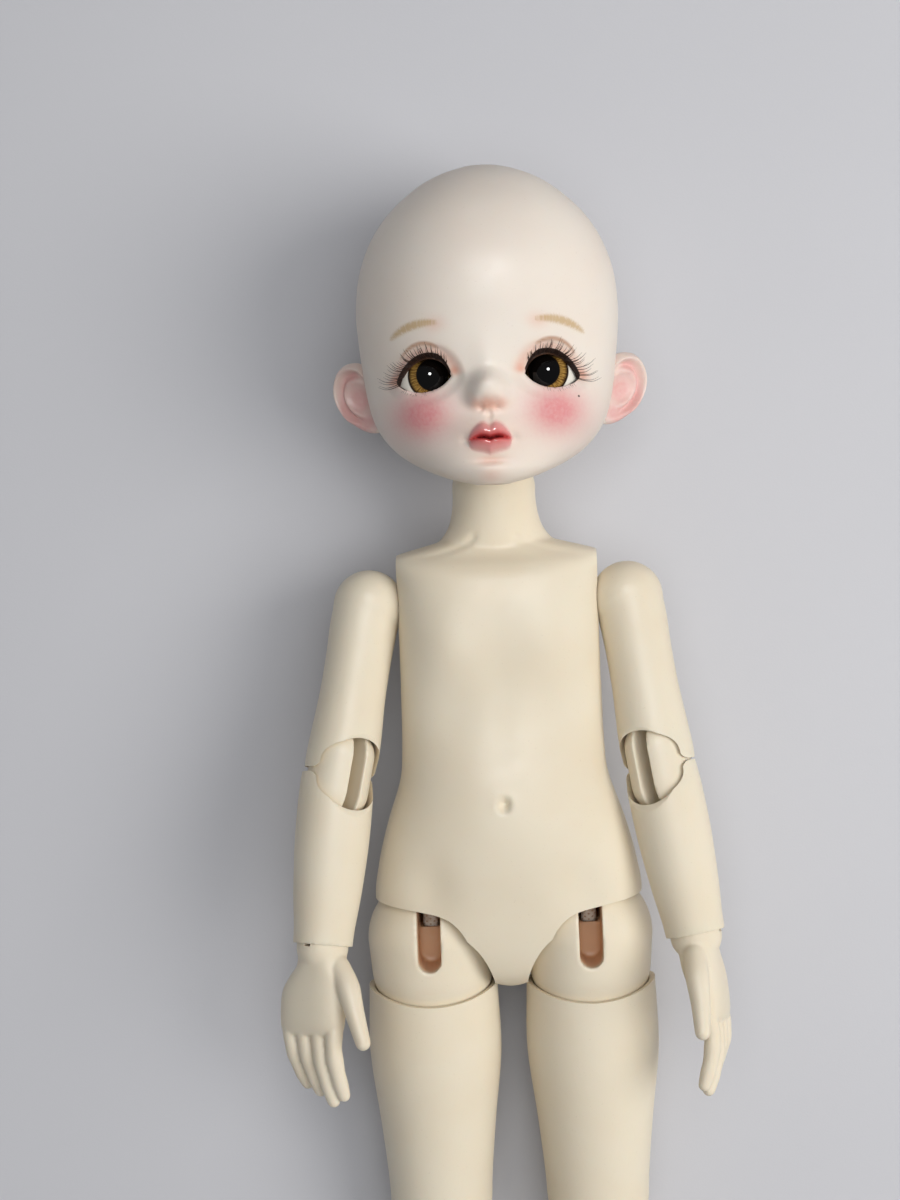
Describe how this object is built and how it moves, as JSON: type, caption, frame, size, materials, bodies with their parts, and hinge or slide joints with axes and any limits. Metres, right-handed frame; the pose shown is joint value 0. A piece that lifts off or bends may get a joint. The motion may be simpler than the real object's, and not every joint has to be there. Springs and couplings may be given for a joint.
{
  "type": "ball jointed doll",
  "caption": "Unclothed ivory resin doll with a magnet-held head cap, set-in glass-look eyes, ball shoulders and hips, double elbows and knees, strung on elastic cord.",
  "frame": {"origin": "centre of the lying doll's box at the level of the ground that it lies on", "axes": "+X to the doll's left, +Y from its feet to its crown, +Z out of its face, up from the ground as it lies on its back"},
  "size_m": [0.087, 0.2742, 0.0561],
  "materials": {
    "body_resin": "cast polyurethane resin, ivory, sanded to a silky matt surface",
    "head_resin": "cast polyurethane resin, pale ivory, matt sealed under the face paint",
    "elastic_cord": "braided white covering over a rubber core",
    "steel_wire": "plain bent steel wire",
    "magnet": "bright nickel-plated disc",
    "eye": "clear gloss over an amber iris on white",
    "putty": "soft matt modelling putty",
    "lash": "fine dark brown fibre"
  },
  "bodies": {
    "torso": {"torso": "body_resin", "leg_cord_left": "elastic_cord", "leg_cord_right": "elastic_cord", "arm_cord": "elastic_cord"},
    "neck_cord": {"neck_cord": "elastic_cord"},
    "head_hook": {"head_hook": "steel_wire"},
    "head": {"head_face": "head_resin", "face_magnet_left": "magnet", "face_magnet_right": "magnet", "eye_left": "eye", "eye_right": "eye", "eye_putty_left": "putty", "eye_putty_right": "putty", "eyelash_left": "lash", "eyelash_right": "lash"},
    "head_cap": {"head_cap": "head_resin", "cap_magnet_left": "magnet", "cap_magnet_right": "magnet"},
    "shoulder_cord_left": {"shoulder_cord_left": "elastic_cord"},
    "upper_arm_left": {"upper_arm_left": "body_resin", "upper_arm_cord_left": "elastic_cord"},
    "elbow_piece_left": {"elbow_piece_left": "body_resin"},
    "forearm_left": {"forearm_left": "body_resin", "forearm_cord_left": "elastic_cord"},
    "wrist_hook_left": {"wrist_hook_left": "steel_wire"},
    "hand_left": {"hand_left": "body_resin"},
    "hip_cord_left": {"hip_cord_left": "elastic_cord"},
    "hip_piece_left": {"hip_piece_left": "body_resin"},
    "thigh_left": {"thigh_left": "body_resin", "thigh_cord_left": "elastic_cord"},
    "knee_piece_left": {"knee_piece_left": "body_resin"},
    "shin_left": {"shin_left": "body_resin", "shin_cord_left": "elastic_cord"},
    "ankle_hook_left": {"ankle_hook_left": "steel_wire"},
    "foot_left": {"foot_left": "body_resin"},
    "shoulder_cord_right": {"shoulder_cord_right": "elastic_cord"},
    "upper_arm_right": {"upper_arm_right": "body_resin", "upper_arm_cord_right": "elastic_cord"},
    "elbow_piece_right": {"elbow_piece_right": "body_resin"},
    "forearm_right": {"forearm_right": "body_resin", "forearm_cord_right": "elastic_cord"},
    "wrist_hook_right": {"wrist_hook_right": "steel_wire"},
    "hand_right": {"hand_right": "body_resin"},
    "hip_cord_right": {"hip_cord_right": "elastic_cord"},
    "hip_piece_right": {"hip_piece_right": "body_resin"},
    "thigh_right": {"thigh_right": "body_resin", "thigh_cord_right": "elastic_cord"},
    "knee_piece_right": {"knee_piece_right": "body_resin"},
    "shin_right": {"shin_right": "body_resin", "shin_cord_right": "elastic_cord"},
    "ankle_hook_right": {"ankle_hook_right": "steel_wire"},
    "foot_right": {"foot_right": "body_resin"}
  },
  "joints": [
    {"name": "head_turn", "type": "hinge", "parent": "torso", "child": "neck_cord", "pos_m": [0, 0.075, 0.02229], "axis": [0, 1, 0], "range_deg": [-80, 80]},
    {"name": "head_tilt", "type": "hinge", "parent": "neck_cord", "child": "head_hook", "pos_m": [0, 0.075, 0.02229], "axis": [0, 0, 1], "range_deg": [-12, 12]},
    {"name": "head_nod", "type": "hinge", "parent": "head_hook", "child": "head", "pos_m": [0, 0.075, 0.02229], "axis": [1, 0, 0], "range_deg": [-14, 14]},
    {"name": "cap_lift", "type": "slide", "parent": "head", "child": "head_cap", "axis": [0, 0.3387, -0.9409], "range_m": [0, 0.04]},
    {"name": "shoulder_swing_left", "type": "hinge", "parent": "torso", "child": "shoulder_cord_left", "pos_m": [0.0254, 0.05289, 0.02175], "axis": [-1, 0, 0], "range_deg": [-45, 150]},
    {"name": "shoulder_spread_left", "type": "hinge", "parent": "shoulder_cord_left", "child": "upper_arm_left", "pos_m": [0.0254, 0.05289, 0.02175], "axis": [0, 0.1045, 0.9945], "range_deg": [0, 75]},
    {"name": "elbow_upper_left", "type": "hinge", "parent": "upper_arm_left", "child": "elbow_piece_left", "pos_m": [0.02989, 0.02338, 0.02485], "axis": [-0.7999, -0.1818, -0.5719], "range_deg": [0, 55]},
    {"name": "elbow_lower_left", "type": "hinge", "parent": "elbow_piece_left", "child": "forearm_left", "pos_m": [0.03093, 0.0165, 0.02557], "axis": [-0.7999, -0.1818, -0.5719], "range_deg": [0, 55]},
    {"name": "wrist_turn_left", "type": "hinge", "parent": "forearm_left", "child": "wrist_hook_left", "pos_m": [0.03594, -0.01292, 0.02866], "axis": [0.1668, -0.9806, 0.1031], "range_deg": [-90, 90]},
    {"name": "wrist_bend_left", "type": "hinge", "parent": "wrist_hook_left", "child": "hand_left", "pos_m": [0.03594, -0.01292, 0.02866], "axis": [0.3047, -0.0482, -0.9512], "range_deg": [-38, 20]},
    {"name": "hip_spread_left", "type": "hinge", "parent": "torso", "child": "hip_cord_left", "pos_m": [0.0157, -0.01335, 0.01711], "axis": [0, -0.068, 0.9977], "range_deg": [0, 26]},
    {"name": "hip_swing_left", "type": "hinge", "parent": "hip_cord_left", "child": "hip_piece_left", "pos_m": [0.0157, -0.01362, 0.0211], "axis": [-1, 0, 0], "range_deg": [0, 50]},
    {"name": "thigh_turn_left", "type": "hinge", "parent": "hip_piece_left", "child": "thigh_left", "pos_m": [0.0157, -0.01894, 0.01673], "axis": [0, -0.9977, -0.068], "range_deg": [-30, 30]},
    {"name": "knee_upper_left", "type": "hinge", "parent": "thigh_left", "child": "knee_piece_left", "pos_m": [0.0157, -0.07072, 0.0132], "axis": [1, 0, 0], "range_deg": [0, 55]},
    {"name": "knee_lower_left", "type": "hinge", "parent": "knee_piece_left", "child": "shin_left", "pos_m": [0.0157, -0.0797, 0.01259], "axis": [1, 0, 0], "range_deg": [0, 55]},
    {"name": "ankle_turn_left", "type": "hinge", "parent": "shin_left", "child": "ankle_hook_left", "pos_m": [0.0157, -0.1221, 0.0097], "axis": [0, -0.9977, -0.068], "range_deg": [-45, 45]},
    {"name": "ankle_bend_left", "type": "hinge", "parent": "ankle_hook_left", "child": "foot_left", "pos_m": [0.0157, -0.1221, 0.0097], "axis": [1, 0, 0], "range_deg": [-25, 30]},
    {"name": "shoulder_swing_right", "type": "hinge", "parent": "torso", "child": "shoulder_cord_right", "pos_m": [-0.0254, 0.05289, 0.02175], "axis": [-1, 0, 0], "range_deg": [-8, 150]},
    {"name": "shoulder_spread_right", "type": "hinge", "parent": "shoulder_cord_right", "child": "upper_arm_right", "pos_m": [-0.0254, 0.05289, 0.02175], "axis": [0, -0.1564, -0.9877], "range_deg": [0, 75]},
    {"name": "elbow_upper_right", "type": "hinge", "parent": "upper_arm_right", "child": "elbow_piece_right", "pos_m": [-0.03133, 0.02384, 0.02635], "axis": [-0.7509, 0.2501, 0.6112], "range_deg": [0, 55]},
    {"name": "elbow_lower_right", "type": "hinge", "parent": "elbow_piece_right", "child": "forearm_right", "pos_m": [-0.03271, 0.01706, 0.02742], "axis": [-0.7509, 0.2501, 0.6112], "range_deg": [0, 55]},
    {"name": "wrist_turn_right", "type": "hinge", "parent": "forearm_right", "child": "wrist_hook_right", "pos_m": [-0.03606, -0.01239, 0.03208], "axis": [0.1115, 0.9815, -0.1555], "range_deg": [-90, 90]},
    {"name": "wrist_bend_right", "type": "hinge", "parent": "wrist_hook_right", "child": "hand_right", "pos_m": [-0.03606, -0.01239, 0.03208], "axis": [0.8428, -0.0105, 0.5382], "range_deg": [-38, 20]},
    {"name": "hip_spread_right", "type": "hinge", "parent": "torso", "child": "hip_cord_right", "pos_m": [-0.0157, -0.01335, 0.01711], "axis": [0, 0.068, -0.9977], "range_deg": [0, 26]},
    {"name": "hip_swing_right", "type": "hinge", "parent": "hip_cord_right", "child": "hip_piece_right", "pos_m": [-0.0157, -0.01362, 0.0211], "axis": [-1, 0, 0], "range_deg": [0, 50]},
    {"name": "thigh_turn_right", "type": "hinge", "parent": "hip_piece_right", "child": "thigh_right", "pos_m": [-0.0157, -0.01894, 0.01673], "axis": [0, 0.9977, 0.068], "range_deg": [-30, 30]},
    {"name": "knee_upper_right", "type": "hinge", "parent": "thigh_right", "child": "knee_piece_right", "pos_m": [-0.0157, -0.07072, 0.0132], "axis": [1, 0, 0], "range_deg": [0, 55]},
    {"name": "knee_lower_right", "type": "hinge", "parent": "knee_piece_right", "child": "shin_right", "pos_m": [-0.0157, -0.0797, 0.01259], "axis": [1, 0, 0], "range_deg": [0, 55]},
    {"name": "ankle_turn_right", "type": "hinge", "parent": "shin_right", "child": "ankle_hook_right", "pos_m": [-0.0157, -0.1221, 0.0097], "axis": [0, 0.9977, 0.068], "range_deg": [-45, 45]},
    {"name": "ankle_bend_right", "type": "hinge", "parent": "ankle_hook_right", "child": "foot_right", "pos_m": [-0.0157, -0.1221, 0.0097], "axis": [1, 0, 0], "range_deg": [-25, 30]}
  ]
}
